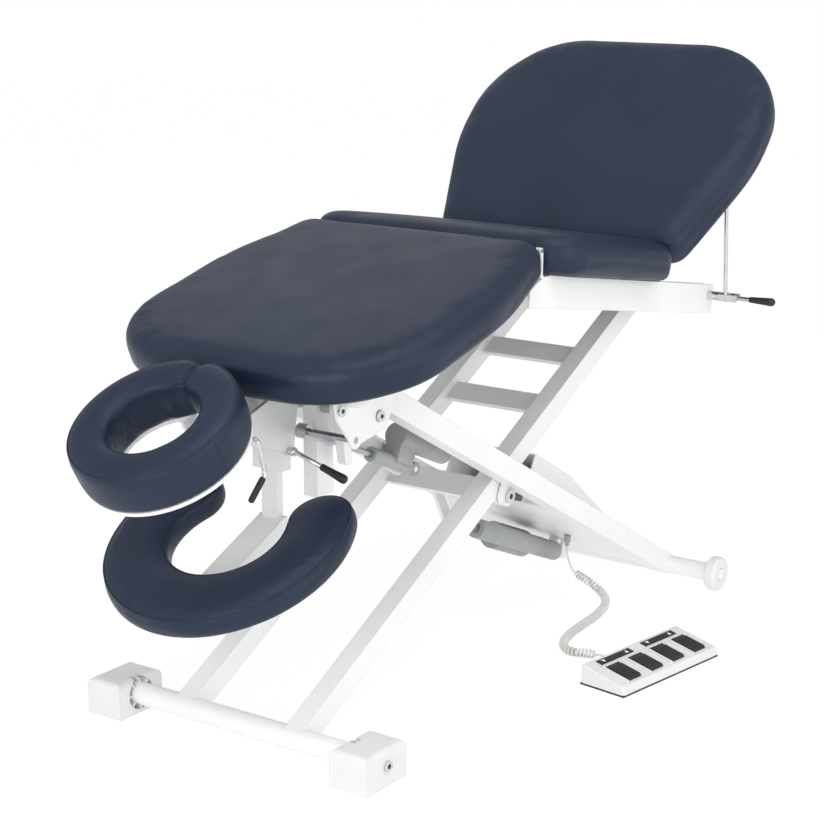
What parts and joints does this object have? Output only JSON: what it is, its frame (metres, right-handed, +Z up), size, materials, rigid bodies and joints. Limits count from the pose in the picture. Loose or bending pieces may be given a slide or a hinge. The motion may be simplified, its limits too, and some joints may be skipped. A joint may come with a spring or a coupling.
{
  "type": "physiotherapy table",
  "caption": "Electric scissor-lift physiotherapy table with padded front, middle and raised back sections, face cradle, arm rest and a corded foot control.",
  "frame": {"origin": "on the floor under the middle of the table's box, cord left out", "axes": "+X from the head end to the foot end, +Z up, +Y to the left of someone facing the foot end"},
  "size_m": [2.046, 0.993, 1.3454],
  "materials": {
    "upholstery": "satin navy leatherette over foam",
    "frame_white": "white powder coat",
    "bright": "bright plated steel",
    "steel": "machined steel",
    "grip_black": "matt black rubber",
    "plastic_white": "white moulded plastic",
    "plastic_grey": "grey moulded plastic",
    "plastic_black": "black moulded plastic",
    "board": "plywood, painted underside",
    "cord": "pale cord jacket"
  },
  "bodies": {
    "base": {"foot_block_left": "plastic_white", "foot_block_right": "plastic_white", "foot_axle_bolts": "bright"},
    "inner_frame": {"front_cross_tube": "frame_white", "inner_leg_left": "frame_white", "inner_leg_right": "frame_white", "inner_cross_plates": "frame_white", "scissor_pins": "bright", "roller_shaft": "steel"},
    "deck_rollers": {"deck_rollers": "plastic_grey"},
    "outer_frame": {"rear_cross_tube": "frame_white", "outer_leg_left": "frame_white", "outer_leg_right": "frame_white", "rear_gusset": "frame_white", "control_box": "plastic_grey", "cord_gland": "plastic_grey", "cord_lead": "cord"},
    "wheel_left": {"wheel_left": "plastic_white"},
    "wheel_right": {"wheel_right": "plastic_white"},
    "lift_motor": {"lift_motor_unit": "plastic_grey"},
    "lift_rod": {"lift_rod": "steel"},
    "head_carrier": {"head_cross_shaft": "steel", "tilt_bracket": "frame_white"},
    "tilt_motor": {"tilt_motor_unit": "plastic_grey"},
    "tilt_rod": {"tilt_rod": "steel"},
    "front_deck": {"front_frame": "frame_white", "front_board": "board", "front_pad": "upholstery", "side_plate_left": "frame_white", "side_plate_right": "frame_white", "tilt_tip_rod": "steel", "plate_bolts": "bright", "head_bracket": "frame_white"},
    "rear_deck": {"rail_left": "frame_white", "rail_right": "frame_white", "deck_cross_tubes": "frame_white", "hinge_pins": "bright", "middle_board": "board", "middle_pad": "upholstery"},
    "back_section": {"back_board": "board", "back_hinge_straps": "frame_white", "back_pad": "upholstery"},
    "prop_rod": {"prop_rod": "bright"},
    "prop_clamp": {"prop_clamp": "bright"},
    "prop_lever": {"prop_lever": "bright", "prop_grip": "grip_black"},
    "cradle": {"cradle_plate": "frame_white", "face_pad": "upholstery"},
    "cradle_lever": {"cradle_lever": "bright"},
    "armrest": {"armrest_post": "frame_white", "armrest_tray": "frame_white", "armrest_pad": "upholstery"},
    "armrest_lever": {"armrest_lever": "bright"},
    "foot_control": {"foot_control_housing": "plastic_white", "curly_cord": "cord", "cord_tail": "cord"},
    "pedal_1": {"pedal_1": "plastic_black"},
    "pedal_2": {"pedal_2": "plastic_black"},
    "pedal_3": {"pedal_3": "plastic_black"},
    "pedal_4": {"pedal_4": "plastic_black"}
  },
  "joints": [
    {"name": "base_pivot", "type": "hinge", "parent": "base", "child": "inner_frame", "pos_m": [-0.65007, 0.0715, 0.043], "axis": [0, -1, 0], "range_deg": [-10.75, 2.25]},
    {"name": "lift", "type": "hinge", "parent": "inner_frame", "child": "outer_frame", "pos_m": [0.06593, 0.0715, 0.388], "axis": [0, 1, 0], "range_deg": [-21, 4]},
    {"name": "wheel_left_spin", "type": "hinge", "parent": "outer_frame", "child": "wheel_left", "pos_m": [0.78193, 0.0715, 0.043], "axis": [0, 1, 0], "continuous": true},
    {"name": "wheel_right_spin", "type": "hinge", "parent": "outer_frame", "child": "wheel_right", "pos_m": [0.78193, 0.0715, 0.043], "axis": [0, 1, 0], "continuous": true},
    {"name": "deck_rollers_spin", "type": "hinge", "parent": "inner_frame", "child": "deck_rollers", "pos_m": [0.62993, 0.0715, 0.7587], "axis": [0, 1, 0], "continuous": true},
    {"name": "lift_motor_swing", "type": "hinge", "parent": "outer_frame", "child": "lift_motor", "pos_m": [0.57889, 0.0715, 0.08923], "axis": [0, -1, 0], "range_deg": [-0.68, 3.26]},
    {"name": "lift_rod_slide", "type": "slide", "parent": "lift_motor", "child": "lift_rod", "axis": [-0.922, 0, 0.3872], "range_m": [-0.00705, 0.0337]},
    {"name": "head_level", "type": "hinge", "parent": "outer_frame", "child": "head_carrier", "pos_m": [-0.47207, 0.0715, 0.687], "axis": [0, -1, 0], "range_deg": [-10.75, 2.25]},
    {"name": "flexion", "type": "hinge", "parent": "head_carrier", "child": "front_deck", "pos_m": [-0.47207, 0.0715, 0.687], "axis": [0, -1, 0], "range_deg": [-14.5, 3]},
    {"name": "tilt_motor_swing", "type": "hinge", "parent": "head_carrier", "child": "tilt_motor", "pos_m": [-0.18307, 0.0715, 0.494], "axis": [0, -1, 0], "range_deg": [-2.27, 0.51]},
    {"name": "tilt_rod_slide", "type": "slide", "parent": "tilt_motor", "child": "tilt_rod", "axis": [-0.9172, 0, 0.3985], "range_m": [-0.00333, 0.01477]},
    {"name": "deck_peak", "type": "hinge", "parent": "front_deck", "child": "rear_deck", "pos_m": [0.00493, 0.0715, 0.962], "axis": [0, -1, 0], "range_deg": [-5.7, 25.25]},
    {"name": "back_raise", "type": "hinge", "parent": "rear_deck", "child": "back_section", "pos_m": [0.53493, 0.0715, 0.872], "axis": [0, -1, 0], "range_deg": [-54.64, 0]},
    {"name": "prop_clamp_swivel", "type": "hinge", "parent": "rear_deck", "child": "prop_clamp", "pos_m": [0.78094, 0.0715, 0.75111], "axis": [0, -1, 0], "range_deg": [-27.87, 0.55]},
    {"name": "prop_rod_swivel", "type": "hinge", "parent": "back_section", "child": "prop_rod", "pos_m": [0.76585, 0.0715, 1.01968], "axis": [0, -1, 0], "range_deg": [-0.55, 27.87]},
    {"name": "prop_lever_turn", "type": "hinge", "parent": "prop_clamp", "child": "prop_lever", "pos_m": [0.78094, -0.2975, 0.75111], "axis": [0.9984, 0, 0.0561], "range_deg": [-18, 18], "stiffness_Nm_per_rad": 2},
    {"name": "cradle_tilt", "type": "hinge", "parent": "front_deck", "child": "cradle", "pos_m": [-0.70207, 0.0715, 0.668], "axis": [0, -1, 0], "range_deg": [-3, 18]},
    {"name": "cradle_lever_turn", "type": "hinge", "parent": "front_deck", "child": "cradle_lever", "pos_m": [-0.70207, 0.0715, 0.668], "axis": [0, -1, 0], "range_deg": [-35, 35]},
    {"name": "armrest_height", "type": "slide", "parent": "front_deck", "child": "armrest", "axis": [0, 0, 1], "range_m": [-0.04, 0.012]},
    {"name": "armrest_lever_turn", "type": "hinge", "parent": "front_deck", "child": "armrest_lever", "pos_m": [-0.53807, 0.0715, 0.602], "axis": [0, -1, 0], "range_deg": [-40, 40]},
    {"name": "foot_control_level", "type": "hinge", "parent": "outer_frame", "child": "foot_control", "pos_m": [0.78193, 0.0715, 0.043], "axis": [0, -1, 0], "range_deg": [-10.75, 2.25], "deforming": ["cord_lead"]},
    {"name": "pedal_1_press", "type": "hinge", "parent": "foot_control", "child": "pedal_1", "pos_m": [0.07878, -0.38485, 0.03841], "axis": [0.9903, -0.1392, 0], "range_deg": [0, 4], "stiffness_Nm_per_rad": 2, "springref_deg": -5.73},
    {"name": "pedal_2_press", "type": "hinge", "parent": "foot_control", "child": "pedal_2", "pos_m": [0.158, -0.39598, 0.03841], "axis": [0.9903, -0.1392, 0], "range_deg": [0, 4], "stiffness_Nm_per_rad": 2, "springref_deg": -5.73},
    {"name": "pedal_3_press", "type": "hinge", "parent": "foot_control", "child": "pedal_3", "pos_m": [0.23722, -0.40711, 0.03841], "axis": [0.9903, -0.1392, 0], "range_deg": [0, 4], "stiffness_Nm_per_rad": 2, "springref_deg": -5.73},
    {"name": "pedal_4_press", "type": "hinge", "parent": "foot_control", "child": "pedal_4", "pos_m": [0.31645, -0.41825, 0.03841], "axis": [0.9903, -0.1392, 0], "range_deg": [0, 4], "stiffness_Nm_per_rad": 2, "springref_deg": -5.73}
  ],
  "couplings": [
    {"joint": "base_pivot", "follows": "lift", "ratio": 0.5},
    {"joint": "lift_motor_swing", "follows": "lift", "ratio": -0.15148},
    {"joint": "lift_rod_slide", "follows": "lift", "m_per_rad": -0.089798},
    {"joint": "head_level", "follows": "lift", "ratio": 0.5},
    {"joint": "foot_control_level", "follows": "lift", "ratio": 0.5},
    {"joint": "tilt_motor_swing", "follows": "flexion", "ratio": 0.15266},
    {"joint": "tilt_rod_slide", "follows": "flexion", "m_per_rad": -0.056986},
    {"joint": "deck_peak", "follows": "flexion", "ratio": -1.7},
    {"joint": "prop_clamp_swivel", "follows": "back_raise", "ratio": 0.5},
    {"joint": "prop_rod_swivel", "follows": "back_raise", "ratio": -0.5}
  ]
}
